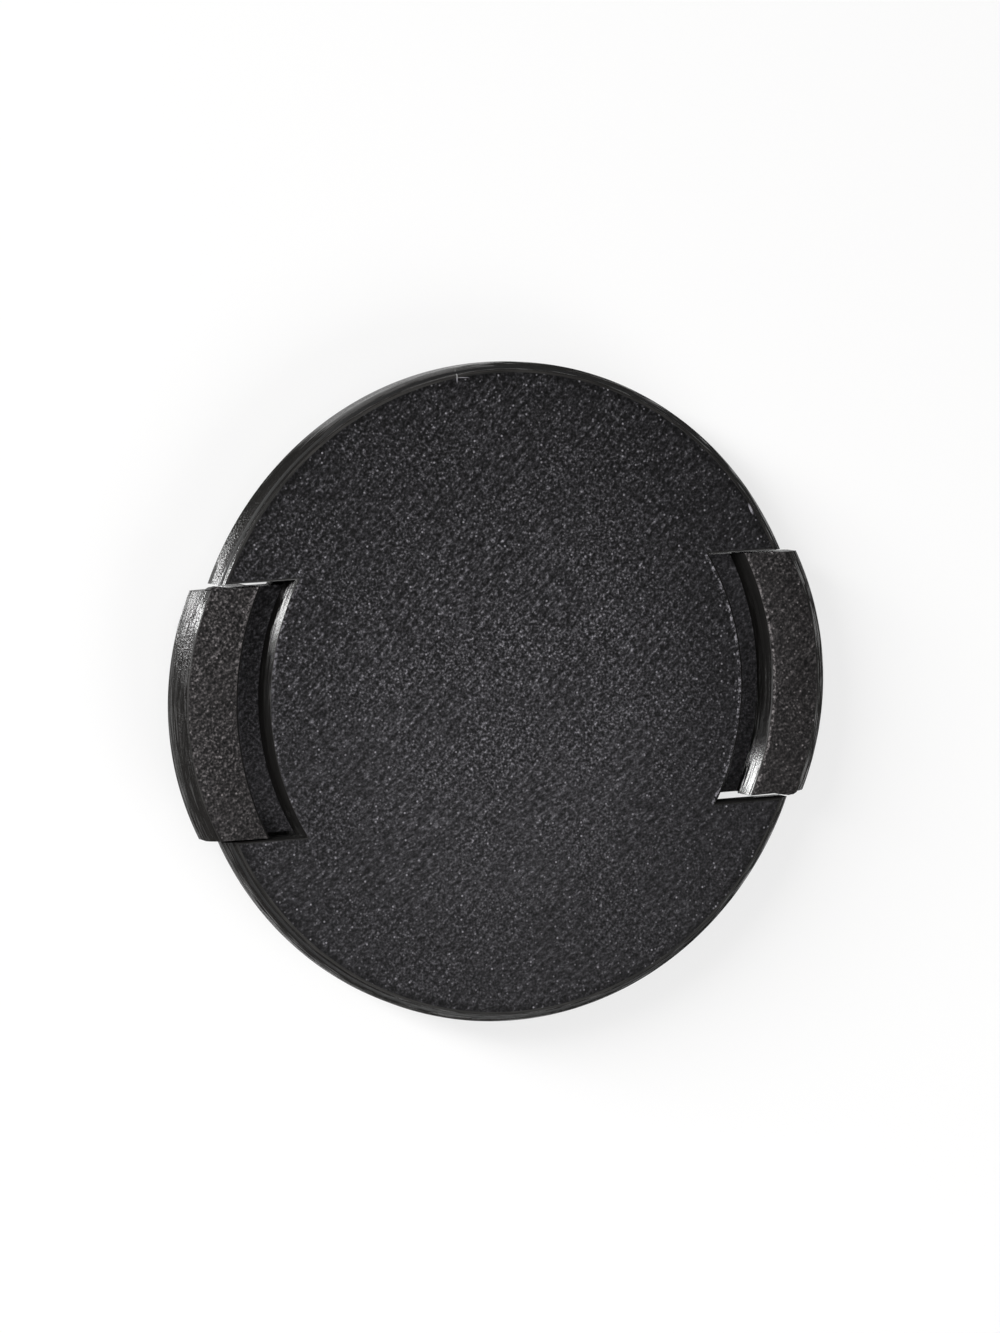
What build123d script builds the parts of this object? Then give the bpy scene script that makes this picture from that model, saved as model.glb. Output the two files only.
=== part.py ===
from build123d import *
from math import hypot, sqrt
import os

# Side-pinch lens cap for a 40.5 mm filter thread. It lies on its back with the front face up.
# X runs along the two latches, Y is up the front face, Z points out of it, and Z = 0 is the back face.

# Boss ring behind the plate, which goes into the lens's filter ring
thread_diameter = 40.5
boss_clearance = 0.65
boss_depth = 4.0
boss_wall = 2.0
boss_lead_in = 0.4
boss_gap_clearance = 0.75

# Front plate, which stands past the boss as a flange
flange_width = 1.9
plate_thickness = 2.0
front_bevel_width = 0.6
front_bevel_depth = 0.5
back_chamfer = 0.25
edge_break = 0.15

# Notches that let the latches through the plate
notch_half_width = 8.25
finger_gap = 2.05

# Rear plate, set in a rebate of the boss ring
rear_thickness = 1.0
rebate_depth = 0.8
rear_clearance = 0.15
rear_chamfer = 0.2

# Latches
latch_travel = 1.8
travel_clearance = 0.3
neck_wall = 0.9
grip_overhang = 1.3
grip_outer_radius = 18.85
grip_lift = 0.1
grip_taper = 0.1
grip_corner = 0.5
grip_bevel_width = 0.75
grip_bevel_depth = 0.5
end_clearance = 0.2
floor_inset = 0.1
latch_play = 0.1
hook_side_clearance = 0.3

# Sliders under the front plate
slider_length = 8.5
slider_thickness = 1.4
slide_clearance = 0.2
stop_clearance = 0.1
ear_length = 1.7
ear_overhang = 1.4
rail_length = 2.2
rail_width = 1.4
pad_width = 1.8
pad_inset = 1.0

# Thread hooks on the latches
hook_wall = 1.2
hook_bottom = 0.5
hook_lead_in = 0.25
ridge_height = 0.55
ridge_pitch = 1.0
ridge_count = 2
ridge_base = 0.7
ridge_tip = 0.1
ridge_top_margin = 0.85

# Springs and their seats
wire_diameter = 0.35
wire_sides = 6
spring_diameter = 2.7
spring_pitch = 1.4
seat_wall = 2.0
seat_half_width = 5.0
latch_seat_depth = 1.6
latch_seat_half_width = 2.0
spigot_clearance = 0.25
spigot_length = 1.2
spigot_chamfer = 0.2

# Radii and reaches that follow from the sizes above
boss_radius = thread_diameter / 2 - boss_clearance
disc_radius = boss_radius + flange_width
grip_inner_radius = boss_radius - neck_wall
notch_radius = grip_inner_radius - finger_gap
grip_reach = disc_radius + grip_overhang
boss_inner_radius = boss_radius - boss_wall
rebate_radius = boss_inner_radius + rebate_depth
rear_radius = rebate_radius - rear_clearance
hook_inner_radius = boss_radius - hook_wall
hook_room_radius = hook_inner_radius - latch_travel - travel_clearance
slider_inner_x = grip_inner_radius - slider_length
ear_outer_x = slider_inner_x + ear_length
rail_inner_x = ear_outer_x + stop_clearance
rail_outer_x = rail_inner_x + rail_length
latch_seat_x = slider_inner_x - latch_seat_depth
spring_start_x = seat_wall / 2
spring_length = latch_seat_x - spring_start_x
coil_radius = (spring_diameter - wire_diameter) / 2
spigot_radius = coil_radius - wire_diameter / 2 - spigot_clearance

# Heights and widths that follow
front_z = boss_depth + plate_thickness
plate_back_z = boss_depth
grip_bottom_z = plate_back_z + grip_lift
slider_top_z = plate_back_z - slide_clearance
slider_bottom_z = slider_top_z - slider_thickness
rear_top_z = rear_thickness
pad_top_z = slider_bottom_z - slide_clearance
seat_bottom_z = rear_top_z + slide_clearance
spring_z = (rear_top_z + plate_back_z) / 2
grip_half_width = notch_half_width - end_clearance
grip_inner_x = sqrt(grip_inner_radius**2 - grip_half_width**2)
grip_slope = grip_taper / (grip_reach - grip_inner_x)
slider_half_width = grip_half_width - floor_inset
boss_gap_half_width = notch_half_width + boss_gap_clearance
rail_inner_y = slider_half_width + end_clearance
rail_outer_y = rail_inner_y + rail_width
ear_half_width = slider_half_width + ear_overhang
hook_room_half_width = slider_half_width + hook_side_clearance
pad_outer_y = slider_half_width - pad_inset
pad_inner_y = pad_outer_y - pad_width

# Overlap for cuts, and the tolerance for finding edges
past = 1.0
tiny = 0.001


def block(x0, x1, y0, y1, z0, z1):
    """A box between two corners."""
    box = Box(x1 - x0, y1 - y0, z1 - z0, align=(Align.MIN, Align.MIN, Align.MIN))
    return Pos(x0, y0, z0) * box


def band(x0, x1, half_width, z0, z1):
    """A box that is centred on the X axis."""
    return block(x0, x1, -half_width, half_width, z0, z1)


def disc(radius, z0, z1):
    """A round plate about the Z axis."""
    return Pos(0, 0, z0) * Cylinder(radius, z1 - z0, align=(Align.CENTER, Align.CENTER, Align.MIN))


def half_turn(shape):
    """The same shape on the other side of the cap."""
    return Rot(0, 0, 180) * shape


def both_sides(shape):
    """The shape and its copy on the other side."""
    return shape + half_turn(shape)


def edges_at(shape, z):
    """The edges that lie flat at one height."""
    flat = shape.edges().filter_by(lambda edge: edge.bounding_box().size.Z < tiny)
    return flat.filter_by(lambda edge: abs(edge.center().Z - z) < tiny)


def bevelled_disc(radius, z0, bevel_width, bevel_depth):
    """A round plate up to the front face, with a bevel around its front edge."""
    plate = disc(radius, z0, front_z)
    front = plate.faces().sort_by(Axis.Z)[-1]
    return chamfer(edges_at(plate, front_z), bevel_width, bevel_depth, reference=front)


def spigot(x, direction):
    """A peg on a spring seat's face at x, with a chamfered tip."""
    peg = Cylinder(spigot_radius, spigot_length, align=(Align.CENTER, Align.CENTER, Align.MIN))
    peg = chamfer(peg.edges().sort_by(Axis.Z)[-1], spigot_chamfer)
    return Pos(x, 0, spring_z) * Rot(0, 90 * direction, 0) * peg


def make_front_cover():
    """Front plate, boss ring, guide rails and the spring wall, in one piece."""
    plate = bevelled_disc(disc_radius, plate_back_z, front_bevel_width, front_bevel_depth)
    plate = chamfer(edges_at(plate, plate_back_z), back_chamfer)
    notch = band(0, disc_radius + past, notch_half_width, plate_back_z - past, front_z + past)
    notch -= disc(notch_radius, plate_back_z - past, front_z + past)
    plate -= both_sides(notch)
    plate = chamfer(edges_at(plate, front_z).filter_by(is_notch_edge), edge_break)

    ring = disc(boss_radius, 0, plate_back_z)
    ring = chamfer(edges_at(ring, 0), boss_lead_in)
    ring -= disc(boss_inner_radius, -past, plate_back_z + past)
    ring -= disc(rebate_radius, -past, rear_top_z)
    ring -= band(-disc_radius, disc_radius, boss_gap_half_width, -past, plate_back_z + past)

    rail = block(rail_inner_x, rail_outer_x, rail_inner_y, rail_outer_y, rear_top_z, plate_back_z)
    rails = both_sides(rail + mirror(rail, Plane.XZ))
    wall = band(-seat_wall / 2, seat_wall / 2, seat_half_width, rear_top_z, plate_back_z)
    wall += both_sides(spigot(seat_wall / 2, 1))
    return plate + ring + rails + wall


def is_notch_edge(edge):
    """True for the front edges along a notch's sides and its inner arc."""
    middle = edge.position_at(0.5)
    along_side = abs(abs(middle.Y) - notch_half_width) < tiny
    on_arc = abs(hypot(middle.X, middle.Y) - notch_radius) < tiny
    return along_side or on_arc


def make_rear_plate():
    """Round back plate with room for the hooks, and pads that carry the sliders."""
    plate = disc(rear_radius, 0, rear_top_z)
    plate = chamfer(edges_at(plate, 0), rear_chamfer)
    hook_room = band(0, disc_radius, hook_room_half_width, -past, rear_top_z + past)
    hook_room -= disc(hook_room_radius, -past, rear_top_z + past)
    plate -= both_sides(hook_room)
    pad = block(slider_inner_x, rail_outer_x, pad_inner_y, pad_outer_y, rear_top_z, pad_top_z)
    return plate + both_sides(pad + mirror(pad, Plane.XZ))


def make_grip():
    """The finger grip: an arc-shaped block that fills the notch's outer end, flush with the front face."""
    outer = bevelled_disc(grip_outer_radius, grip_bottom_z, grip_bevel_width, grip_bevel_depth)
    outer = Pos(grip_reach - grip_outer_radius, 0, 0) * outer
    far_x = grip_reach + past
    root = grip_half_width + grip_slope * grip_inner_x
    tip = grip_half_width - grip_slope * (far_x - grip_inner_x)
    plan = make_face(Polyline((0, -root), (far_x, -tip), (far_x, tip), (0, root), close=True))
    grip = outer & Pos(0, 0, grip_bottom_z) * extrude(plan, front_z - grip_bottom_z)
    grip -= disc(grip_inner_radius, grip_bottom_z - past, front_z + past)
    corners = grip.edges().filter_by(Axis.Z).sort_by(Axis.X)[-2:]
    grip = fillet(corners, grip_corner)
    return chamfer(edges_at(grip, front_z).filter_by(is_grip_inner_edge), edge_break)


def is_grip_inner_edge(edge):
    """True for the front edge along the grip's inner arc."""
    middle = edge.position_at(0.5)
    return abs(hypot(middle.X, middle.Y) - grip_inner_radius) < tiny


def make_hook():
    """The curved wall that goes into the filter ring, with ridges that catch its thread."""
    top = slider_top_z
    outline = [(hook_inner_radius, hook_bottom), (boss_radius - hook_lead_in, hook_bottom)]
    outline += [(boss_radius, hook_bottom + hook_lead_in)]
    first = top - ridge_top_margin - ridge_pitch * (ridge_count - 1)
    for number in range(ridge_count):
        middle = first + number * ridge_pitch
        tip = boss_radius + ridge_height
        outline += [(boss_radius, middle - ridge_base / 2), (tip, middle - ridge_tip / 2)]
        outline += [(tip, middle + ridge_tip / 2), (boss_radius, middle + ridge_base / 2)]
    outline += [(boss_radius, grip_bottom_z), (grip_inner_radius, grip_bottom_z)]
    outline += [(grip_inner_radius, top), (hook_inner_radius, top)]
    section = Plane.XZ * make_face(Polyline(*outline, close=True))
    ring = revolve(section, Axis.Z)
    return ring & band(0, disc_radius, slider_half_width, 0, front_z)


def make_latch():
    """One latch for the +X side: grip, hook, slider with stop ears, and spring seat."""
    slider = band(slider_inner_x, boss_radius, slider_half_width, slider_bottom_z, slider_top_z)
    slider &= disc(boss_radius - hook_wall / 2, slider_bottom_z, slider_top_z)
    ears = band(slider_inner_x, ear_outer_x, ear_half_width, slider_bottom_z, slider_top_z)
    seat = band(latch_seat_x, slider_inner_x + past, latch_seat_half_width, seat_bottom_z, slider_top_z)
    seat += spigot(latch_seat_x, -1)
    return make_grip() + make_hook() + slider + ears + seat


def make_spring():
    """A ground-end compression spring along +X, from the spring wall to the latch's seat."""
    run = spring_length + 2 * spring_pitch
    path = Helix(spring_pitch, run, coil_radius)
    wire = Plane(path @ 0, z_dir=path % 0) * RegularPolygon(wire_diameter / 2, wire_sides)
    coil = sweep(wire, path, is_frenet=True)
    coil = Pos(spring_start_x - spring_pitch, 0, spring_z) * Rot(0, 90, 0) * coil
    keep = band(spring_start_x, latch_seat_x, spring_diameter, rear_top_z - past, plate_back_z + past)
    return coil & keep


latch = Pos(0, latch_play, 0) * make_latch()
spring = make_spring()
nodes = {
    "front_cover": make_front_cover(),
    "rear_plate": make_rear_plate(),
    "left_latch": half_turn(latch),
    "right_latch": latch,
    "left_spring": half_turn(spring),
    "right_spring": spring,
}

os.makedirs("parts", exist_ok=True)
for name, shape in nodes.items():
    export_step(shape, f"parts/{name}.step")
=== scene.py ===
import math

import bpy
from mathutils import Matrix, Vector


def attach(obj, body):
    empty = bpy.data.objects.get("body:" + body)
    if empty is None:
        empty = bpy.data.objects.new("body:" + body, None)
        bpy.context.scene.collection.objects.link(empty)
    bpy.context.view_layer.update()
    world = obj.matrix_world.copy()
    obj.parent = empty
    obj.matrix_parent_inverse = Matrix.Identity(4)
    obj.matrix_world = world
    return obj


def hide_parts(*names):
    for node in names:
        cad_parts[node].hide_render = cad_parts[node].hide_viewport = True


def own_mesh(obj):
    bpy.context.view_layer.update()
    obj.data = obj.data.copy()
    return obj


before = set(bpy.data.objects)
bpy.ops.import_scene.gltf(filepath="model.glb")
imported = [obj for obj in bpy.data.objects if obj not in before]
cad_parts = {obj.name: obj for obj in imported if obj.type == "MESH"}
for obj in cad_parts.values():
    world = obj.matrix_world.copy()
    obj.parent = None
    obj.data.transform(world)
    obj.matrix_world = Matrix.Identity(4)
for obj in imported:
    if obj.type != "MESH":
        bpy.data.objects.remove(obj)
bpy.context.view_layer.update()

# A printed side-pinch lens cap that lies on its back. X runs along the two latches,
# Y runs up the front face, and Z points out of it.
MM = 0.001

# How meshes are made and read
ROUND_SIDES = 288
HAIR = 1e-7  # two points this near are one
BESIDE = 20 * HAIR  # a corner this near a flat end lies on it
ON_ARC = 0.005 * MM  # a corner this near a round edge lies on it
FACING = 0.9  # a face looks along an axis from this share of its normal on
UPRIGHT = 0.2  # a wall's normal rises or falls by no more than this
LEVEL = 0.9999  # a level face's normal rises by more than this
END_FACING = 0.8  # the same as FACING, for the rounded ends of a grip
END_RISE = 0.5  # the same as UPRIGHT, for them
OVERLAP = 0.1 * MM  # how far shapes that are joined run into each other
SMOOTH_ANGLE = math.radians(32)

# Front plate and boss ring
disc_radius = 21.5 * MM
plate_back = 4.0 * MM
front = 6.0 * MM
back_chamfer = 0.25 * MM
rim_bottom = 5.45 * MM
rim_steps = (  # outwards from the plate's radius, and height, in millimetres
    (0.0, 5.42), (-0.02, 5.51), (-0.07, 5.60), (-0.15, 5.68), (-0.25, 5.745), (-0.36, 5.785),
    (-0.41, 5.80), (-0.42, 5.82), (-0.41, 5.87), (-0.43, 5.92), (-0.465, 5.96),
    (-0.52, 5.982), (-0.60, 5.994), (-0.68, 6.0))
notch_half = 8.25 * MM
notch_radius = 16.65 * MM
edge_break = 0.15 * MM
edge_rounding = 3
shoulder = 0.2 * MM
boss_radius = 19.6 * MM
boss_inner = 17.6 * MM
boss_lead_in = 0.4 * MM
boss_gap_half = 9.0 * MM
rebate_radius = 18.4 * MM

# Rear plate
rear_top = 1.0 * MM
rear_radius = 18.25 * MM
rear_chamfer = 0.2 * MM
hook_room_radius = 16.3 * MM
hook_room_half = 8.25 * MM
pad_top = 2.2 * MM
pad_inner_y = 5.15 * MM
pad_outer_y = 6.95 * MM

# Latches
grip_reach = 22.8 * MM
grip_outer = 18.85 * MM
grip_inner = 18.7 * MM
grip_bottom = 4.1 * MM
grip_half = 8.05 * MM
grip_inner_x = 16.88 * MM
grip_slope = 0.1 / 5.92
grip_corner = 0.5 * MM
corner_rounding = 8
wedge_room = 1.0 * MM
brow_bottom = 5.4 * MM
brow_steps = (  # outwards from the grip's radius, and height, in millimetres
    (1.0, 0.0), (1.0, 5.1), (0.06, 5.25), (-0.005, 5.40), (-0.03, 5.49), (-0.11, 5.60),
    (-0.25, 5.73), (-0.45, 5.87), (-0.62, 5.95), (-0.75, 6.0), (-0.9, 6.05))
slider_half = 7.95 * MM
slider_top = 3.8 * MM
slider_bottom = 2.4 * MM
slider_inner_x = 10.2 * MM
ear_outer_x = 11.9 * MM
ear_half = 9.35 * MM
rail_inner_x = 12.0 * MM
rail_outer_x = 14.2 * MM
rail_inner_y = 8.15 * MM
rail_outer_y = 9.55 * MM
hook_inner = 18.4 * MM
hook_bottom = 0.5 * MM
hook_lead_in = 0.25 * MM
ridge_heights = (1.95 * MM, 2.95 * MM)
ridge_reach = 0.55 * MM
ridge_half = 0.35 * MM
ridge_neck_half = 0.07 * MM
ridge_tip_half = 0.03 * MM
ridge_tip_round = 0.04 * MM
latch_play = 0.1 * MM

# Small flaws of the print
flash_inner_x = 18.8 * MM
flash_outer_x = 20.4 * MM
flash_reach = 0.03 * MM
flash_bottom = 5.2 * MM
flash_top = 5.9 * MM
flash_teeth = tuple(
    out * MM for out in (0.02, 0.05, 0.03, 0.06, 0.04, 0.07, 0.03, 0.05, 0.01))

# Springs and their seats
wall_half = 1.0 * MM
wall_half_width = 5.0 * MM
seat_x = 8.6 * MM
seat_half = 2.0 * MM
seat_bottom = 1.2 * MM
seat_depth = 1.0 * MM
spring_z = 2.5 * MM
peg_radius = 0.75 * MM
peg_length = 1.2 * MM
peg_sunk = 0.2 * MM
peg_chamfer = 0.2 * MM
peg_rounding = 2
peg_sides = 48
wire_radius = 0.175 * MM
wire_sides = 12
coil_radius = 1.175 * MM
coil_pitch = 1.4 * MM
coil_steps = 36
ground_turns = 2

# Printed layers
layer = 0.2 * MM
groove_half = 0.06 * MM
groove_depth = 0.03 * MM


def select_nothing():
    """Deselects every object, because an operator acts on all that is selected."""
    bpy.ops.object.select_all(action="DESELECT")


def take(piece):
    """Makes one piece the only selected object."""
    select_nothing()
    piece.select_set(True)
    bpy.context.view_layer.objects.active = piece


def set_down(name):
    """Names the primitive that was just added and puts its place into its mesh."""
    piece = bpy.context.object
    piece.name = name
    bpy.ops.object.transform_apply(location=True, rotation=True, scale=True)
    return piece


def open_mesh(piece):
    """Goes into a piece's edit mode with all of its mesh selected."""
    take(piece)
    bpy.ops.object.mode_set(mode="EDIT")
    bpy.ops.mesh.select_all(action="SELECT")


def close_mesh():
    """Leaves edit mode, with corners as what is selected next."""
    bpy.ops.mesh.select_mode(type="VERT")
    bpy.ops.object.mode_set(mode="OBJECT")


def unpick(mesh):
    """Deselects every corner, edge and face of a mesh."""
    for part in (mesh.vertices, mesh.edges, mesh.polygons):
        part.foreach_set("select", [False] * len(part))


def turned(name, outline, x=0.0):
    """A round solid about an upright axis, from (radius, height) pairs from the bottom up."""
    radius, height = outline[0]
    select_nothing()
    bpy.ops.mesh.primitive_circle_add(
        vertices=ROUND_SIDES, radius=radius, fill_type="NGON", location=(x, 0, height))
    piece = set_down(name)
    open_mesh(piece)
    for (r0, z0), (r1, z1) in zip(outline, outline[1:]):
        bpy.ops.mesh.extrude_region_move(TRANSFORM_OT_translate={"value": (0, 0, z1 - z0)})
        bpy.ops.transform.resize(value=(r1 / r0, r1 / r0, 1), center_override=(x, 0, z1))
    bpy.ops.mesh.select_all(action="SELECT")
    bpy.ops.mesh.normals_make_consistent(inside=False)
    close_mesh()
    return piece


def stepped(radius, steps):
    """An outline for turned, from steps in millimetres outwards from a radius."""
    return [(radius + out * MM, z * MM) for out, z in steps]


def drum(name, radius, z0, z1, x=0.0):
    """A plain round solid, mostly to cut with."""
    return turned(name, [(radius, z0), (radius, z1)], x)


def slab(name, x0, x1, y0, y1, z0, z1):
    """A box between two corners."""
    select_nothing()
    middle = ((x0 + x1) / 2, (y0 + y1) / 2, (z0 + z1) / 2)
    bpy.ops.mesh.primitive_cube_add(size=1, location=middle, scale=(x1 - x0, y1 - y0, z1 - z0))
    return set_down(name)


def combine(piece, tool, operation):
    """Joins, cuts or trims a piece with a tool, which is used up."""
    take(piece)
    step = piece.modifiers.new("step", "BOOLEAN")
    step.operation = operation
    step.solver = "EXACT"
    step.object = tool
    bpy.ops.object.modifier_apply(modifier=step.name)
    bpy.data.objects.remove(tool)
    return piece


def add(piece, tool):
    return combine(piece, tool, "UNION")


def cut(piece, tool):
    return combine(piece, tool, "DIFFERENCE")


def trim(piece, tool):
    return combine(piece, tool, "INTERSECT")


def copy_of(piece, name):
    """A copy with a mesh of its own."""
    twin = piece.copy()
    twin.data = piece.data.copy()
    twin.name = name
    bpy.context.scene.collection.objects.link(twin)
    return twin


def half_turn(piece):
    """Turns a piece to the other side of the cap."""
    open_mesh(piece)
    bpy.ops.transform.rotate(value=math.pi, orient_axis="Z", center_override=(0, 0, 0))
    close_mesh()
    return piece


def shift(piece, move):
    """Moves a piece's whole mesh."""
    open_mesh(piece)
    bpy.ops.transform.translate(value=move)
    close_mesh()
    return piece


def cut_sides(piece, half, radius, z0, z1):
    """Cuts a notch with straight ends and a round inner wall into both sides of a piece."""
    notch = slab("notch", 0, 2 * disc_radius, -half, half, z0, z1)
    cut(notch, drum("notch_arc", radius, z0 - front, z1 + front))
    cut(piece, half_turn(copy_of(notch, "notch_left")))
    cut(piece, notch)


def add_four(piece, name, x0, x1, y0, y1, z0, z1):
    """Adds the same block to all four quarters of a piece."""
    for near_x, far_x in ((x0, x1), (-x1, -x0)):
        for near_y, far_y in ((y0, y1), (-y1, -y0)):
            add(piece, slab(name, near_x, far_x, near_y, far_y, z0, z1))


def round_edges(piece, chosen, width, steps):
    """Bevels the edges that a test on their two ends picks out."""
    take(piece)
    mesh = piece.data
    unpick(mesh)
    for edge in mesh.edges:
        a, b = (mesh.vertices[i].co for i in edge.vertices)
        edge.select = bool(chosen(a, b))
    bpy.ops.object.mode_set(mode="EDIT")
    bpy.ops.mesh.select_mode(type="EDGE")
    bpy.ops.mesh.bevel(offset=width, segments=steps, affect="EDGES")
    close_mesh()
    return piece


def pick_faces(piece, chosen):
    """Goes into edit mode with only the faces selected that a test picks out."""
    take(piece)
    unpick(piece.data)
    for face in piece.data.polygons:
        face.select = bool(chosen(face))
    bpy.ops.object.mode_set(mode="EDIT")
    bpy.ops.mesh.select_mode(type="FACE")


def slice_faces(piece, place, normal, chosen):
    """Cuts the picked faces along a plane."""
    pick_faces(piece, chosen)
    bpy.ops.mesh.bisect(plane_co=place, plane_no=normal, threshold=HAIR)
    close_mesh()


def push_out(piece, move, chosen):
    """Extrudes the picked faces."""
    pick_faces(piece, chosen)
    bpy.ops.mesh.extrude_region_move(TRANSFORM_OT_translate={"value": move})
    close_mesh()


def nudge(piece, move, chosen):
    """Moves the corners that a test picks out."""
    take(piece)
    unpick(piece.data)
    for vertex in piece.data.vertices:
        vertex.select = bool(chosen(vertex.co))
    bpy.ops.object.mode_set(mode="EDIT")
    bpy.ops.transform.translate(value=move)
    close_mesh()


def layer_heights(bottom, top):
    """The heights where layers meet, between two levels, counted down from the front face."""
    count = round((front - bottom) / layer)
    heights = [front - layer * number for number in range(1, count)]
    return [z for z in heights if bottom + groove_half * 2 < z < top - groove_half * 2]


def print_layers(piece, heights):
    """Cuts a shallow groove round every upright wall where printed layers meet."""
    open_mesh(piece)
    for z in heights:
        for level in (z - groove_half, z, z + groove_half):
            bpy.ops.mesh.select_all(action="SELECT")
            bpy.ops.mesh.bisect(plane_co=(0, 0, level), plane_no=(0, 0, 1), threshold=HAIR)
    close_mesh()
    mesh = piece.data
    unpick(mesh)
    on_wall = [True] * len(mesh.vertices)
    for face in mesh.polygons:
        if abs(face.normal.z) > UPRIGHT:
            for i in face.vertices:
                on_wall[i] = False
    for vertex in mesh.vertices:
        in_groove = min(abs(vertex.co.z - z) for z in heights) < groove_half / 4
        vertex.select = in_groove and on_wall[vertex.index]
    bpy.ops.object.mode_set(mode="EDIT")
    bpy.ops.transform.shrink_fatten(value=-groove_depth)
    close_mesh()
    return piece


def peg(x, direction):
    """A spigot on a spring seat, with a rounded tip."""
    length = peg_length + peg_sunk
    middle = x + direction * (length / 2 - peg_sunk)
    tip = x + direction * peg_length
    select_nothing()
    bpy.ops.mesh.primitive_cylinder_add(
        vertices=peg_sides, radius=peg_radius, depth=length, rotation=(0, math.pi / 2, 0),
        location=(middle, 0, spring_z))

    def at_tip(a, b):
        return max(abs(a.x - tip), abs(b.x - tip)) < HAIR

    return round_edges(set_down("peg"), at_tip, peg_chamfer, peg_rounding)


def make_cover():
    """Front plate, boss ring, guide rails and the wall between the springs."""
    outline = [(disc_radius - back_chamfer, plate_back), (disc_radius, plate_back + back_chamfer)]
    cover = turned("printed_cover", outline + stepped(disc_radius, rim_steps))
    cut_sides(cover, notch_half, notch_radius, 0, 2 * front)

    def on_notch(a, b):
        level = min(a.z, b.z) > front - HAIR
        straight = all(abs(abs(p.y) - notch_half) < BESIDE for p in (a, b))
        curved = all(abs(p.to_2d().length - notch_radius) < ON_ARC for p in (a, b))
        return level and (straight or curved)

    round_edges(cover, on_notch, edge_break, edge_rounding)

    top = plate_back + OVERLAP
    wide = 2 * disc_radius
    ring = turned("ring", [
        (boss_radius - boss_lead_in, 0), (boss_radius, boss_lead_in), (boss_radius, top)])
    cut(ring, drum("ring_bore", boss_inner, -front, front))
    cut(ring, drum("ring_rebate", rebate_radius, -front, rear_top))
    cut(ring, slab("ring_gap", -wide, wide, -boss_gap_half, boss_gap_half, -front, front))
    add(cover, ring)
    add_four(cover, "rail", rail_inner_x, rail_outer_x, rail_inner_y, rail_outer_y, rear_top, top)
    add(cover, slab(
        "wall", -wall_half, wall_half, -wall_half_width, wall_half_width, rear_top, top))
    add(cover, peg(wall_half, 1))
    add(cover, peg(-wall_half, -1))
    heights = layer_heights(0, plate_back) + layer_heights(plate_back, rim_bottom)
    return print_layers(cover, heights)


def grip_half_at(x):
    """Half the grip's width, which closes in a little towards its outer end."""
    return grip_half - grip_slope * (x - grip_inner_x)


def grip_wedge():
    """The block that the grip's two ends are trimmed to."""
    far_x = grip_reach + wedge_room
    root = grip_half_at(0)
    wedge = slab("grip_ends", 0, far_x, -root, root, 0, 2 * front)
    pick_faces(wedge, lambda face: face.normal.x > FACING)
    bpy.ops.transform.resize(value=(1, grip_half_at(far_x) / root, 1), center_override=(0, 0, 0))
    close_mesh()
    return wedge


def end_flash():
    """A ragged ridge of squeezed-out plastic along the outer half of one grip end."""
    y = -grip_half_at(flash_inner_x)
    ridge = slab(
        "flash", flash_inner_x, flash_outer_x, y - flash_reach, y + flash_reach,
        flash_bottom, flash_top)
    pitch = (flash_outer_x - flash_inner_x) / len(flash_teeth)
    for number, out in enumerate(flash_teeth):
        x = flash_inner_x + pitch * (number + 0.5)
        slice_faces(ridge, (x, 0, 0), (1, 0, 0), lambda face: True)
        nudge(ridge, (0, -out, 0), lambda p: abs(p.x - x) < HAIR and p.y < y)
    return ridge


def make_grip():
    """The right-hand latch's grip, with its rounded brow and corners."""
    centre = grip_reach - grip_outer
    grip = drum("printed_right_latch", grip_outer, grip_bottom, front, centre)
    trim(grip, grip_wedge())
    cut(grip, drum("grip_arc", grip_inner, 0, 2 * front))

    def at_corner(a, b):
        stands = (a - b).to_2d().length < HAIR and abs(a.z - b.z) > HAIR
        return stands and abs(abs(a.y) - grip_half_at(a.x)) < BESIDE and a.x > grip_inner

    round_edges(grip, at_corner, grip_corner, corner_rounding)
    trim(grip, turned("brow", stepped(grip_outer, brow_steps), centre))

    def on_inner_arc(a, b):
        level = min(a.z, b.z) > front - HAIR
        return level and all(abs(p.to_2d().length - grip_inner) < ON_ARC for p in (a, b))

    round_edges(grip, on_inner_arc, edge_break, edge_rounding)
    return add(grip, end_flash())


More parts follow.
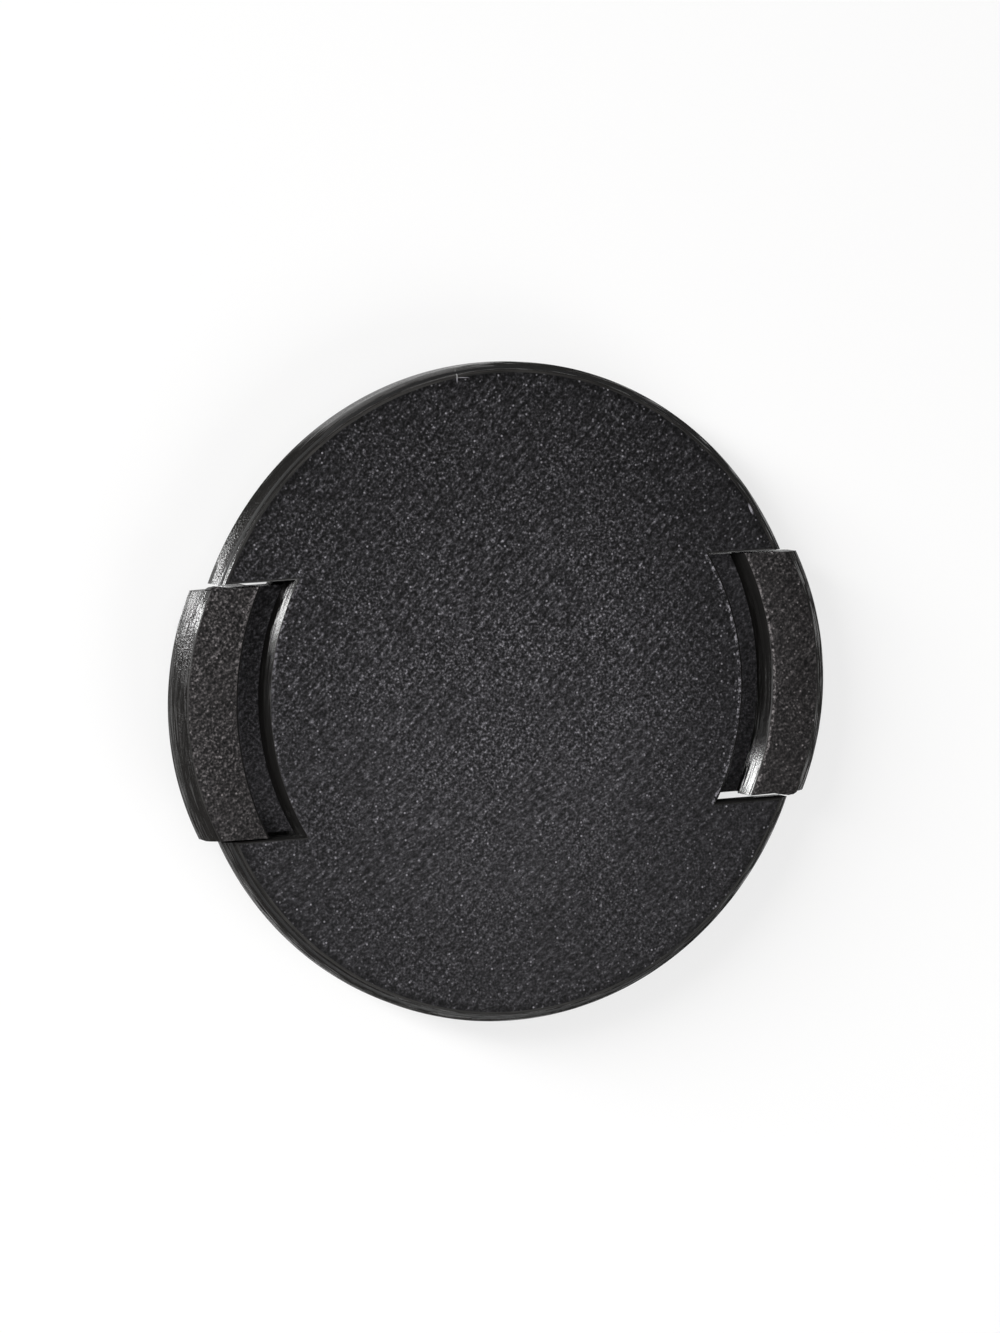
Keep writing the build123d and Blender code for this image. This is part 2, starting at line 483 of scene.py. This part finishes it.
def make_slider():
    """The right-hand latch's hook with its thread ridges, slider, stop ears and spring seat."""
    outline = [
        (boss_radius - hook_lead_in, hook_bottom), (boss_radius, hook_bottom + hook_lead_in)]
    tip = boss_radius + ridge_reach
    neck = tip - ridge_tip_round
    for z in ridge_heights:
        outline += [
            (boss_radius, z - ridge_half), (neck, z - ridge_neck_half), (tip, z - ridge_tip_half),
            (tip, z + ridge_tip_half), (neck, z + ridge_neck_half), (boss_radius, z + ridge_half)]
    slider = turned("slider", outline + [(boss_radius, grip_bottom + OVERLAP)])
    cut(slider, drum("under_slider", hook_inner, 0, slider_bottom))
    cut(slider, drum("over_slider", grip_inner, slider_top, front))
    trim(slider, slab(
        "slider_ends", slider_inner_x, grip_reach, -slider_half, slider_half, 0, front))

    for side in (1, -1):
        slice_faces(slider, (ear_outer_x, 0, 0), (1, 0, 0),
                    lambda face: face.normal.y * side > FACING)
        push_out(slider, (0, side * (ear_half - slider_half), 0),
                 lambda face: face.normal.y * side > FACING and face.center.x < ear_outer_x)

    seat_root = slider_inner_x + seat_depth

    def underneath(face):
        return face.normal.z < -FACING and face.center.x < grip_inner

    def inwards(face):
        return face.normal.x < -FACING

    def at_seat(face):
        return abs(face.center.y) < seat_half and face.center.x < seat_root

    slice_faces(slider, (seat_root, 0, 0), (1, 0, 0), underneath)
    for y in (seat_half, -seat_half):
        slice_faces(
            slider, (0, y, 0), (0, 1, 0), lambda face: inwards(face) or underneath(face))
    push_out(slider, (seat_x - slider_inner_x, 0, 0),
             lambda face: inwards(face) and at_seat(face))
    push_out(slider, (0, 0, seat_bottom - slider_bottom),
             lambda face: underneath(face) and at_seat(face))
    return add(slider, peg(seat_x, -1))


def make_latch():
    """The right-hand latch in one printed piece."""
    latch = make_grip()
    add(latch, make_slider())
    heights = layer_heights(hook_bottom, slider_top) + layer_heights(grip_bottom, brow_bottom)
    return print_layers(latch, heights)


def make_back_plate():
    """Round back plate with room for the hooks, and pads that carry the sliders."""
    plate = turned("printed_back", [
        (rear_radius - rear_chamfer, 0), (rear_radius, rear_chamfer), (rear_radius, rear_top)])
    cut_sides(plate, hook_room_half, hook_room_radius, -front, front)
    add_four(plate, "pad", slider_inner_x, rail_outer_x, pad_inner_y, pad_outer_y,
             rear_top - OVERLAP, pad_top)
    return print_layers(plate, layer_heights(0, rear_top) + layer_heights(rear_top, pad_top))


def make_coil():
    """The right-hand spring: round wire, ground flat against the wall and the latch's seat."""
    turns = (seat_x - wall_half) / coil_pitch + ground_turns
    select_nothing()
    bpy.ops.mesh.primitive_circle_add(
        vertices=wire_sides, radius=wire_radius, location=(coil_radius, 0, 0),
        rotation=(math.pi / 2, 0, 0))
    coil = set_down("right_coil")
    wind = coil.modifiers.new("wind", "SCREW")
    wind.axis = "Z"
    wind.angle = 2 * math.pi * turns
    wind.screw_offset = coil_pitch * turns
    wind.steps = wind.render_steps = round(coil_steps * turns)
    bpy.ops.object.modifier_apply(modifier=wind.name)
    open_mesh(coil)
    bpy.ops.transform.rotate(value=math.pi / 2, orient_axis="Y", center_override=(0, 0, 0))
    bpy.ops.transform.rotate(value=math.pi, orient_axis="Z", center_override=(0, 0, 0))
    bpy.ops.transform.translate(value=(wall_half - coil_pitch, 0, spring_z))
    for x, first in ((wall_half, True), (seat_x, False)):
        bpy.ops.mesh.select_all(action="SELECT")
        bpy.ops.mesh.bisect(
            plane_co=(x, 0, 0), plane_no=(1, 0, 0), use_fill=True,
            clear_inner=first, clear_outer=not first, threshold=HAIR)
    bpy.ops.mesh.select_all(action="SELECT")
    bpy.ops.mesh.normals_make_consistent(inside=False)
    close_mesh()
    return coil


def smooth(piece):
    """Shades a piece smooth, apart from its sharp edges."""
    take(piece)
    bpy.ops.object.shade_smooth_by_angle(angle=SMOOTH_ANGLE)


cover = make_cover()
right_latch = shift(make_latch(), (0, latch_play, 0))
left_latch = half_turn(copy_of(right_latch, "printed_left_latch"))
back_plate = make_back_plate()
right_coil = make_coil()
left_coil = half_turn(copy_of(right_coil, "left_coil"))
for piece in (cover, right_latch, left_latch, back_plate, right_coil, left_coil):
    smooth(piece)

for piece, body, solid, slot in (
        (cover, "cover", "front_cover", "cover_plastic"),
        (back_plate, "cover", "rear_plate", "rear_plastic"),
        (left_latch, "left_latch", "left_latch", "latch_plastic"),
        (right_latch, "right_latch", "right_latch", "latch_plastic"),
        (left_coil, "cover", "left_spring", "spring_steel"),
        (right_coil, "cover", "right_spring", "spring_steel")):
    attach(piece, body)
    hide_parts(solid)
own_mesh(left_coil)
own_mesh(right_coil)


# Finishes. Patterns are laid out in millimetres.
PER_METRE = (1000, 1000, 1000)
LEVEL_PART = (1, 1, 0)
SLANT = math.pi / 4
BLACK = (0, 0, 0, 1)
cool = (1.03, 1.0, 1.09)
neutral = (1.08, 1.0, 1.01)
warm = (1.06, 1.0, 0.95)
wire_dark = (0.42, 0.41, 0.40, 1)
wire_bright = (0.62, 0.61, 0.59, 1)
pale_low = (0.88, 0.875, 0.87, 1)
pale_high = (0.92, 0.918, 0.915, 1)

# Grain of the front faces
dash_stretch = (0.6, 1.0, 1.0)
flat_dash_stretch = (0.45, 1.1, 1.0)
flat_dash_turn = -0.4
row_pitch = 0.65  # between the faint nozzle rows
row_width = 0.30
row_height = 0.05
cross_row_height = 0.025
grain_middle = 0.53
grain_relief = 0.07 * MM
grain_specular = 0.12
speck_core = 0.3  # a dot fades from here to its fringe, in parts of its radius
speck_fringe = 1.15
speck_height = 0.3
small_speck_turn = 0.6
small_speck_strength = 0.5
cloud_drift = 6.0  # how far clouds move the painted shade at the top up or down
notch_stretch = (1.28, 1, 0)  # brings the darker border in to the notches
notch_glint_radius = 16.42  # radius of the painted glints on the edge beside the notches
grip_glint_radius = 18.93  # radius of the painted glints on the inner edge of the grips

# Layers of the walls, and nozzle lines of the inner and back faces
fine_layers = (0.5, 0.5, 28.0)
slow_layers = (0.15, 0.15, 5.0)
slow_share = 0.35
grain_share = 0.3
dark_layer = 0.7  # in parts of a finish's level, as the next three are
light_layer = 1.35
light_ring = 2.0
light_track = 1.4
ring_drift = (0.07, 0.07, 0)
flattening = (1, 1, 0.4)
top_left = (-0.29, 0.957, 0)  # the way to the light patch on the rim
bead = 0.21  # half of a nozzle line
track_stretch = (2.4, 0.06, 1.0)
track_share = 0.6
bead_grain = 0.3

# Drawn wire, and light marks at the rim's seam and at a burr
mark_stretch = (1.5, 9.0, 9.0)
wire_relief = 0.004 * MM
light_mark_core = 0.3
light_mark_level = 0.22
# The seam on the top of the rim shows as two crossing painted glints on a real seam; the third
# spot is a lighter sliver at a burr.
seam_and_burr_marks = (  # x, y, turn, length and width
    (-2.99, 20.72, math.pi / 2, 1.1, 0.13),
    (-2.6, 20.62, -0.05, 1.2, 0.07),
    (17.55, 11.05, -1.17, 1.0, 0.24))


def new_finish(name):
    """A new material, with its node tree and its shader."""
    finish = bpy.data.materials.new(name)
    finish.use_nodes = True
    tree = finish.node_tree
    return finish, tree, tree.nodes["Principled BSDF"]


def feed(tree, socket, value):
    """Gives an input a value or another node's output."""
    if isinstance(value, bpy.types.NodeSocket):
        tree.links.new(value, socket)
    else:
        socket.default_value = value


def node(tree, kind, inputs, **settings):
    """Adds a node with its inputs and settings."""
    made = tree.nodes.new("ShaderNode" + kind)
    for key, value in settings.items():
        setattr(made, key, value)
    for key, value in inputs.items():
        feed(tree, made.inputs[key], value)
    return made


def maths(tree, operation, a, b=0.0):
    return node(tree, "Math", {0: a, 1: b}, operation=operation).outputs[0]


def plus(tree, a, b):
    return maths(tree, "ADD", a, b)


def minus(tree, a, b):
    return maths(tree, "SUBTRACT", a, b)


def times(tree, a, b):
    return maths(tree, "MULTIPLY", a, b)


def larger(tree, a, b):
    return maths(tree, "MAXIMUM", a, b)


def size_of(tree, value):
    return maths(tree, "ABSOLUTE", value)


def vectors(tree, operation, a, b=(0, 0, 0)):
    """A sum on vectors that gives a vector."""
    return node(tree, "VectorMath", {0: a, 1: b}, operation=operation).outputs["Vector"]


def split(tree, place):
    """A vector's X, Y and Z."""
    return tuple(node(tree, "SeparateXYZ", {"Vector": place}).outputs)


def upright(tree, height):
    """A vector that points straight up."""
    return node(tree, "CombineXYZ", {"Z": height}).outputs[0]


def reach(tree, place, part=LEVEL_PART):
    """How long the level part of a vector is, or another part of it."""
    share = vectors(tree, "MULTIPLY", place, part)
    return node(tree, "VectorMath", {0: share}, operation="LENGTH").outputs["Value"]


def along(tree, place, way):
    """How far a place lies in one direction."""
    made = node(tree, "VectorMath", {0: place, 1: way}, operation="DOT_PRODUCT")
    return made.outputs["Value"]


def ramp(tree, value, start, end, low, high):
    """Eases from low to high as the value goes from start to end."""
    inputs = {"Value": value, "From Min": start, "From Max": end, "To Min": low, "To Max": high}
    return node(tree, "MapRange", inputs, interpolation_type="SMOOTHSTEP").outputs["Result"]


def mapped(tree, place, **inputs):
    return node(tree, "Mapping", {"Vector": place, **inputs}).outputs[0]


def in_mm(tree, scale=(1, 1, 1), turn=0.0):
    """Object coordinates in millimetres, turned about Z and then stretched for a pattern."""
    place = node(tree, "TexCoord", {}).outputs["Object"]
    place = mapped(tree, place, Rotation=(0, 0, turn), Scale=PER_METRE)
    return mapped(tree, place, Scale=scale)


def noise(tree, place, scale, detail, roughness=0.55):
    inputs = {"Vector": place, "Scale": scale, "Detail": detail, "Roughness": roughness}
    return node(tree, "TexNoise", inputs).outputs["Fac"]


def mixed(tree, kind, share, a, b):
    """A Mix node from a to b, for colours or for plain values."""
    made = node(tree, "Mix", {}, data_type=kind)
    for key, value in {"Factor": share, "A": a, "B": b}.items():
        socket = next(i for i in made.inputs if i.name == key and i.enabled)
        feed(tree, socket, value)
    return next(o for o in made.outputs if o.enabled)


def colour_mix(tree, share, a, b):
    return mixed(tree, "RGBA", share, a, b)


def mix_values(tree, share, a, b):
    return mixed(tree, "FLOAT", share, a, b)


def bump(tree, shader, height, distance, normal=None):
    """Relief in metres, on top of the surface's own or a given normal."""
    inputs = {"Height": height, "Distance": distance}
    if normal:
        inputs["Normal"] = normal
    feed(tree, shader.inputs["Normal"], node(tree, "Bump", inputs).outputs["Normal"])


def tint(level, colour=(1.0, 1.0, 1.0)):
    return tuple(level * part for part in colour) + (1.0,)


def specks(tree, place, spacing, radius, sharing):
    """Painted glints: bright dots of uneven strength, one to a cell, and only in a share of the
    cells.
    """
    cells = node(
        tree, "TexVoronoi", {"Vector": place, "Scale": 1 / spacing}, voronoi_dimensions="2D")
    chance = node(tree, "SeparateColor", {"Color": cells.outputs["Color"]}).outputs[0]
    core, fringe = radius / spacing * speck_core, radius / spacing * speck_fringe
    dot = ramp(tree, cells.outputs["Distance"], start=core, end=fringe, low=1.0, high=0.0)
    return times(tree, dot, ramp(tree, chance, start=1 - sharing, end=1.0, low=0.0, high=1.0))


def rows(tree, turn):
    """Faint straight lines left by the nozzle's passes."""
    across = split(tree, in_mm(tree, turn=turn))[0]
    wave = maths(tree, "PINGPONG", across, row_pitch / 2)
    return ramp(tree, wave, start=0.0, end=row_width, low=1.0, high=0.0)


def light_mark(tree, x, y, turn, length, width):
    """A long soft spot round a point of the face, lighter in the colour: painted glints on the
    seam, and a burr.
    """
    place = node(tree, "TexCoord", {}).outputs["Object"]
    place = mapped(tree, place, Location=(-x, -y, 0), Scale=PER_METRE)
    place = mapped(tree, place, Rotation=(0, 0, -turn))
    off_centre = reach(tree, place, (2 / length, 2 / width, 0))
    return ramp(tree, off_centre, start=light_mark_core, end=1.0, low=1.0, high=0.0)


def painted_edge_glints(tree, radius):
    """Painted highlight: broken bright dots where a round edge of the face catches light, in the
    latch's width.
    """
    place = in_mm(tree)
    x, y, _ = split(tree, place)
    off_edge = size_of(tree, minus(tree, reach(tree, place), radius))
    near = ramp(tree, off_edge, start=0.06, end=0.16, low=1.0, high=0.0)
    across = ramp(tree, size_of(tree, y), start=8.2, end=8.4, low=1.0, high=0.0)
    on_right = ramp(tree, x, start=0.0, end=1.0, low=0.0, high=1.0)
    upper = ramp(tree, y, start=0.0, end=4.0, low=0.2, high=0.7)
    strength = times(tree, across, larger(tree, on_right, upper))
    patches = noise(tree, place, scale=3.5, detail=2.0, roughness=0.7)
    broken = ramp(tree, patches, start=0.46, end=0.66, low=0.0, high=0.9)
    return times(tree, times(tree, near, strength), broken)


def painted_border_shade(tree, cloud):
    """How far the cover's face darkens towards its top, its notches and its rim; the darker top is
    painted shade, where the face gets less light.
    """
    place = in_mm(tree)
    upwards = plus(tree, split(tree, place)[1], times(tree, cloud, cloud_drift))
    # Painted shade: the face darker towards its top.
    top = ramp(tree, upwards, start=-6.0, end=20.0, low=-0.009, high=0.026)
    outwards = reach(tree, place, notch_stretch)
    sides = ramp(tree, outwards, start=9.0, end=21.5, low=-0.004, high=0.028)
    patches = noise(tree, place, scale=1.8, detail=3.0, roughness=0.6)
    ragged = plus(tree, reach(tree, place), patches)
    rim = ramp(tree, ragged, start=20.75, end=21.25, low=0.0, high=0.06)
    return plus(tree, plus(tree, top, sides), rim)


def plate_grain(name, level, spread, glint, colour, edge_radius=None, bordered=False, light_marks=()):
    """Black plastic printed on a textured plate: fine grain, slanting dashes, bright specks that
    are painted glints, and painted shade.
    """
    finish, tree, shader = new_finish(name)
    place = in_mm(tree)
    x, y, _ = split(tree, place)
    cloud = noise(tree, place, scale=0.2, detail=2.0)
    fine = noise(tree, place, scale=5.8, detail=2.0, roughness=0.6)
    steep = noise(tree, in_mm(tree, dash_stretch, -SLANT), scale=5.6, detail=1.5)
    flat = noise(tree, in_mm(tree, flat_dash_stretch, flat_dash_turn), scale=5.6, detail=1.5)
    lower = ramp(tree, y, start=-8.0, end=3.0, low=0.85, high=0.0)
    dashes = mix_values(tree, lower, steep, flat)
    dashed = ramp(tree, cloud, start=0.35, end=0.65, low=0.15, high=0.55)
    pebble = mix_values(tree, dashed, fine, dashes)
    weave = plus(tree, times(tree, rows(tree, SLANT), row_height),
                 times(tree, rows(tree, -SLANT), cross_row_height))
    height = minus(tree, plus(tree, pebble, weave), grain_middle)
    height = times(tree, height, ramp(tree, y, start=-14.0, end=4.0, low=0.74, high=1.0))
    height = times(tree, height, ramp(tree, x, start=10.0, end=16.0, low=1.0, high=0.8))
    # Painted shade: the face darker towards its right-hand side.
    shade = ramp(tree, x, start=11.0, end=16.5, low=0.0, high=0.011)
    if bordered:
        shade = plus(tree, shade, painted_border_shade(tree, cloud))
    tone = maths(tree, "POWER", spread, minus(tree, height, shade))
    bright = tint(glint, colour)
    ground = colour_mix(tree, times(tree, tone, level / glint), BLACK, bright)
    # Painted glints: small and sparse bright specks mixed into the colour.
    small_place = in_mm(tree, turn=small_speck_turn)
    small = specks(tree, small_place, spacing=0.45, radius=0.07, sharing=0.45)
    sparse = specks(tree, place, spacing=0.95, radius=0.08, sharing=0.45)
    sparkle = larger(tree, sparse, times(tree, small, small_speck_strength))
    if edge_radius:
        sparkle = larger(tree, sparkle, painted_edge_glints(tree, edge_radius))
    # Lighter spots: painted glints on the seam, and a burr.
    for spot in light_marks:
        sparkle = larger(tree, sparkle, light_mark(tree, *spot))
    feed(tree, shader.inputs["Base Color"], colour_mix(tree, sparkle, ground, bright))
    dull = ramp(tree, pebble, start=0.3, end=0.7, low=0.62, high=0.46)
    feed(tree, shader.inputs["Roughness"], dull)
    shader.inputs["Specular IOR Level"].default_value = grain_specular
    bump(tree, shader, plus(tree, height, times(tree, sparkle, speck_height)), grain_relief)
    return finish


def ring_lines(tree):
    """Printed lines that run round the cap, for faces that look up."""
    place = in_mm(tree)
    drift = vectors(tree, "MULTIPLY", place, ring_drift)
    outwards = vectors(tree, "ADD", drift, upright(tree, reach(tree, place)))
    lines = noise(tree, outwards, scale=5.0, detail=2.0, roughness=0.6)
    return ramp(tree, lines, start=0.35, end=0.65, low=0.0, high=1.0)


def layer_lean(tree, streak, facing, least, most, sag):
    """The wall's normal, which leans upwards by an uneven amount from layer to layer."""
    place = in_mm(tree)
    x, y, z = split(tree, place)
    crown = plus(tree, streak, ramp(tree, z, start=4.4, end=5.5, low=-sag, high=0.03))
    light_rim = ramp(tree, along(tree, place, top_left), start=19.6, end=21.2, low=0.0, high=0.16)
    crown = minus(tree, crown, light_rim)
    above_notch = ramp(tree, y, start=8.9, end=10.2, low=0.0, high=0.17)
    on_left = ramp(tree, x, start=-16.0, end=-11.0, low=1.0, high=0.0)
    crown = plus(tree, crown, times(tree, above_notch, on_left))
    lean = ramp(tree, crown, start=0.38, end=0.62, low=least, high=most)
    not_below = ramp(tree, split(tree, facing)[2], start=-0.5, end=-0.1, low=0.0, high=1.0)
    slope = times(tree, lean, not_below)
    raised = upright(tree, times(tree, slope, reach(tree, facing)))
    flattened = vectors(tree, "MULTIPLY", facing, flattening)
    return vectors(tree, "NORMALIZE", vectors(tree, "ADD", flattened, raised))


def layered_wall(name, level, colour, least, most, sag, grit, light_marks=()):
    """Side walls of the print: glossy, with uneven layers that run round the wall."""
    finish, tree, shader = new_finish(name)
    facing = node(tree, "NewGeometry", {}).outputs["Normal"]
    rise = split(tree, facing)[2]
    fine = noise(tree, in_mm(tree, fine_layers), scale=1.0, detail=1.0)
    slow = noise(tree, in_mm(tree, slow_layers), scale=1.0, detail=2.0, roughness=0.6)
    streak = mix_values(tree, slow_share, fine, slow)
    grain = noise(tree, in_mm(tree), scale=8.0, detail=2.0)
    uneven = mix_values(tree, grain_share, streak, grain)
    shade = ramp(tree, uneven, start=0.35, end=0.65, low=0.0, high=1.0)
    dark = tint(level * dark_layer, colour)
    lit = colour_mix(tree, shade, dark, tint(level * light_layer, colour))
    lines = colour_mix(tree, ring_lines(tree), dark, tint(level * light_ring, colour))
    looks_up = ramp(tree, rise, start=0.9, end=0.97, low=0.0, high=1.0)
    lit = colour_mix(tree, looks_up, lit, lines)
    # Lighter spots: painted glints on the seam, and a burr.
    for spot in light_marks:
        lit = colour_mix(tree, light_mark(tree, *spot), lit, tint(light_mark_level))
    feed(tree, shader.inputs["Base Color"], lit)
    gloss = ramp(tree, grain, start=0.3, end=0.7, low=0.14, high=0.07)
    matt = ramp(tree, rise, start=0.93, end=0.985, low=0.0, high=0.45)
    feed(tree, shader.inputs["Roughness"], plus(tree, gloss, matt))
    specular = ramp(tree, rise, start=0.93, end=0.985, low=0.5, high=0.27)
    feed(tree, shader.inputs["Specular IOR Level"], specular)
    lean = layer_lean(tree, streak, facing, least, most, sag)
    bump(tree, shader, grain, grit, normal=lean)
    return finish


def rastered(name, level, turn, ridge):
    """Inner and back faces: side-by-side nozzle lines, satin."""
    finish, tree, shader = new_finish(name)
    across = split(tree, in_mm(tree, turn=turn))[0]
    grain = noise(tree, in_mm(tree), scale=3.0, detail=3.0)
    track = noise(tree, in_mm(tree, track_stretch, turn), scale=1.0, detail=2.0)
    uneven = plus(tree, times(tree, track, track_share), times(tree, grain, 1 - track_share))
    shade = ramp(tree, uneven, start=0.35, end=0.65, low=0.0, high=1.0)
    lit = colour_mix(tree, shade, tint(level * dark_layer), tint(level * light_track))
    feed(tree, shader.inputs["Base Color"], lit)
    satin = ramp(tree, track, start=0.3, end=0.7, low=0.5, high=0.36)
    feed(tree, shader.inputs["Roughness"], satin)
    wave = maths(tree, "PINGPONG", across, bead)
    crest = ramp(tree, wave, start=0.0, end=bead, low=0.0, high=1.0)
    bump(tree, shader, plus(tree, crest, times(tree, grain, bead_grain)), ridge)
    return finish


def drawn_wire(name):
    """Bright spring wire with fine drawing marks."""
    finish, tree, shader = new_finish(name)
    marks = noise(tree, in_mm(tree, mark_stretch), scale=1.0, detail=3.0)
    shader.inputs["Metallic"].default_value = 1.0
    feed(tree, shader.inputs["Base Color"], colour_mix(tree, marks, wire_dark, wire_bright))
    satin = ramp(tree, marks, start=0.3, end=0.7, low=0.22, high=0.38)
    feed(tree, shader.inputs["Roughness"], satin)
    bump(tree, shader, marks, wire_relief)
    return finish


def dress(piece, finishes, sort):
    """Gives each face of a piece the finish that a test on the face names."""
    piece.data.materials.clear()
    order = list(finishes)
    for name in order:
        piece.data.materials.append(finishes[name])
    for face in piece.data.polygons:
        face.material_index = order.index(sort(face))


def printed_side(face):
    """Which of a printed piece's finishes a face gets, by where it looks."""
    on_top = face.center.z > front - shoulder
    if on_top and face.normal.z > LEVEL:
        return "front"
    if not on_top and abs(face.normal.z) > FACING:
        return "flat"
    return "wall"


def cover_side(face):
    """As on any printed piece, with a finish of its own on the notches' walls."""
    side = printed_side(face)
    in_notch = abs(face.center.y) < notch_half + edge_break and face.center.z > plate_back
    return "notch" if side == "wall" and in_notch else side


def latch_side(face):
    """As on any printed piece, but the ends, inner wall and floor have their own finishes."""
    side = printed_side(face)
    if abs(face.normal.y) > END_FACING and abs(face.normal.z) < END_RISE:
        return "end"
    if side == "flat" and face.normal.z > 0:
        return "floor"
    inwards = face.normal.x * face.center.x < 0 and face.center.z > slider_top
    return "inner" if side == "wall" and inwards else side


def back_side(face):
    """Level faces and walls, which are all that the back plate has."""
    return "flat" if abs(face.normal.z) > FACING else "wall"


cover_finishes = {
    "front": plate_grain(
        "cover_grain", level=0.0238, spread=100000.0, glint=0.28, colour=cool,
        edge_radius=notch_glint_radius, bordered=True, light_marks=seam_and_burr_marks),
    "wall": layered_wall(
        "cover_wall", level=0.012, colour=warm, least=0.0, most=1.8, sag=0.10,
        grit=0.015 * MM, light_marks=seam_and_burr_marks),
    # Painted shade: the notch walls are a darker copy of the wall's plastic.
    "notch": layered_wall(
        "notch_wall", level=0.006, colour=warm, least=0.2, most=1.65, sag=0.15,
        grit=0.012 * MM),
    "flat": rastered("cover_inside", level=0.010, turn=SLANT, ridge=0.002 * MM),
}
latch_finishes = {
    "front": plate_grain(
        "latch_grain", level=0.0202, spread=60000.0, glint=0.22, colour=neutral,
        edge_radius=grip_glint_radius),
    "wall": layered_wall(
        "latch_wall", level=0.012, colour=warm, least=0.0, most=1.8, sag=0.04,
        grit=0.016 * MM),
    # Painted shade: the inner grip walls are a darker copy of the wall's plastic.
    "inner": layered_wall(
        "latch_inner_wall", level=0.006, colour=warm, least=0.85, most=1.65, sag=0.05,
        grit=0.005 * MM),
    "end": layered_wall(
        "latch_end", level=0.012, colour=warm, least=0.0, most=0.4, sag=0.05,
        grit=0.02 * MM),
    # Painted light: the recess floor is a lighter copy of the latch's plastic, standing in for
    # light that reaches into the recess.
    "floor": plate_grain(
        "latch_floor_grain", level=0.032, spread=6000.0, glint=0.12, colour=cool),
    # Painted light: a lighter copy of the inside plastic, first raised for the recess floor.
    "flat": rastered("latch_inside", level=0.026, turn=-SLANT, ridge=0.002 * MM),
}
back_finishes = {
    "wall": layered_wall(
        "back_wall", level=0.012, colour=warm, least=0.0, most=1.0, sag=0.05,
        grit=0.02 * MM),
    "flat": rastered("back_inside", level=0.016, turn=SLANT, ridge=0.008 * MM),
}
wire_finish = {"wire": drawn_wire("spring_wire")}
dress(cover, cover_finishes, cover_side)
dress(left_latch, latch_finishes, latch_side)
dress(right_latch, latch_finishes, latch_side)
dress(back_plate, back_finishes, back_side)
for coil in (left_coil, right_coil):
    dress(coil, wire_finish, lambda face: "wire")


# Floor, light and camera. Lamps are in metres, degrees and watts.
floor_size = 6
floor_roughness = 0.7
floor_specular = 0.1
floor_white = 0.68  # the share of plain white in the floor's look
sky_strength = 0.12
photo_height = 1333
sensor = 36
view_azimuth = math.radians(-22.20)
view_elevation = math.radians(5.39)
view_roll = math.radians(-1.86)
view_distance = 16.1 * disc_radius
focal = 5334.1  # in pixels of the photograph, as the two shifts are
shift_right = 10.32
shift_up = -27.07
clip_near = 0.01
clip_far = 20


def seen(tree):
    """1 for rays that show a surface to the eye, directly or in a reflection, and 0 for light."""
    path = node(tree, "LightPath", {}).outputs
    mirrored = larger(tree, path["Is Glossy Ray"], path["Is Transmission Ray"])
    return larger(tree, path["Is Camera Ray"], mirrored)


def make_floor():
    """A pale floor with no edge in view, whiter than the light on it. It keeps the shadow."""
    select_nothing()
    bpy.ops.mesh.primitive_plane_add(size=floor_size, location=(0, 0, 0))
    floor = set_down("floor")
    finish, tree, shader = new_finish("pale_floor")
    drift = noise(tree, in_mm(tree), scale=0.004, detail=2.0)
    feed(tree, shader.inputs["Base Color"], colour_mix(tree, drift, pale_low, pale_high))
    shader.inputs["Roughness"].default_value = floor_roughness
    shader.inputs["Specular IOR Level"].default_value = floor_specular
    white = node(tree, "Emission", {"Color": (1, 1, 1, 1), "Strength": 1.0}).outputs[0]
    share = times(tree, seen(tree), floor_white)
    blend = node(tree, "MixShader", {0: share, 1: shader.outputs[0], 2: white}).outputs[0]
    feed(tree, tree.nodes["Material Output"].inputs["Surface"], blend)
    floor.data.materials.append(finish)


def softbox(name, azimuth, elevation, distance, width, height, power):
    """A softbox that looks at the cap. Azimuth is counted from +X towards +Y."""
    a, e = math.radians(azimuth), math.radians(elevation)
    toward = Vector((math.cos(a) * math.cos(e), math.sin(a) * math.cos(e), math.sin(e)))
    lamp = bpy.data.lights.new(name, "AREA")
    lamp.shape = "RECTANGLE"
    lamp.size = width
    lamp.size_y = height
    lamp.energy = power
    stand = bpy.data.objects.new(name, lamp)
    bpy.context.scene.collection.objects.link(stand)
    stand.location = toward * distance
    stand.visible_camera = False
    stand.rotation_euler = toward.to_track_quat("Z", "Y").to_euler()


def make_light():
    """Plain studio light: a tall strip from the upper left, two fills and an even surround."""
    softbox("strip_light", azimuth=154, elevation=33, distance=0.60,
            width=0.10, height=0.42, power=4.3)
    softbox("front_fill", azimuth=-64, elevation=50, distance=0.20,
            width=0.12, height=0.12, power=0.14)
    softbox("top_fill", azimuth=166, elevation=72, distance=0.60,
            width=0.30, height=0.30, power=0.6)
    world = bpy.data.worlds.new("studio")
    world.use_nodes = True
    bpy.context.scene.world = world
    sky = world.node_tree.nodes["Background"]
    sky.inputs["Color"].default_value = (1.0, 1.0, 1.0, 1.0)
    sky.inputs["Strength"].default_value = sky_strength


def make_camera():
    """The photograph's view of the front: from the left, a little from above, slightly rolled."""
    flat = math.cos(view_elevation)
    view = Vector((
        math.sin(view_azimuth) * flat, math.sin(view_elevation), math.cos(view_azimuth) * flat))
    level = Vector((0, 1, 0)).cross(view).normalized()
    rising = view.cross(level)
    right = math.cos(view_roll) * level + math.sin(view_roll) * rising
    up = math.cos(view_roll) * rising - math.sin(view_roll) * level
    lens = bpy.data.cameras.new("camera")
    lens.lens = focal / photo_height * sensor
    lens.sensor_width = sensor
    lens.clip_start, lens.clip_end = clip_near, clip_far
    camera = bpy.data.objects.new("camera", lens)
    bpy.context.scene.collection.objects.link(camera)
    aim = view - shift_right / focal * right - shift_up / focal * up
    place = Vector((0, 0, front)) + view_distance * aim
    turn = Matrix((right, up, view)).transposed().to_4x4()
    camera.matrix_world = Matrix.Translation(place) @ turn
    bpy.context.scene.camera = camera


make_floor()
make_light()
make_camera()
bpy.context.scene.view_settings.view_transform = "Standard"
